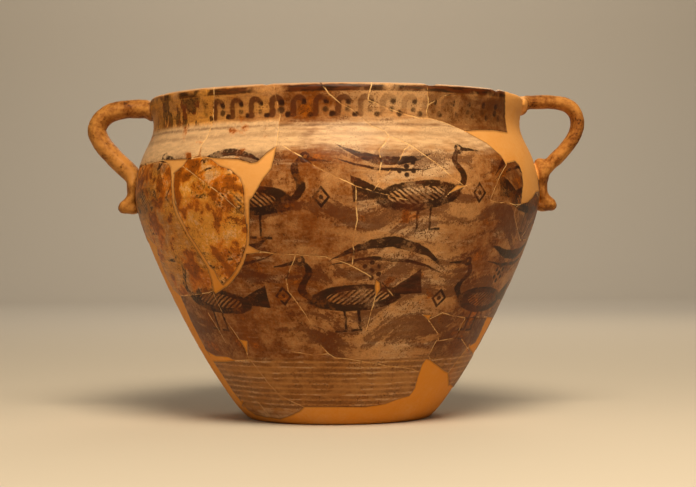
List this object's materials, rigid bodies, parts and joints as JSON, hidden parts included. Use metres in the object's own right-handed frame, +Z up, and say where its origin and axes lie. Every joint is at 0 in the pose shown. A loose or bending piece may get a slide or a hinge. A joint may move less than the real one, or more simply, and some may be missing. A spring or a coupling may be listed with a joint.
{
  "type": "krater vase",
  "caption": "Wide restored clay krater with a flat base, high round shoulder, short neck and upright loop handles, painted with birds and line bands; a bowl for mixing and serving drink.",
  "frame": {"origin": "middle of the flat underside, on the pot's turning axis", "axes": "+Z up along the turning axis, +X through the right handle, the painted front faces -Y"},
  "size_m": [0.4557, 0.3686, 0.2927],
  "materials": {
    "painted_clay": "fired clay with a worn buff slip, brown paint, thin join lines and satin plaster fills"
  },
  "bodies": {
    "root": {"krater": "painted_clay"}
  },
  "joints": []
}
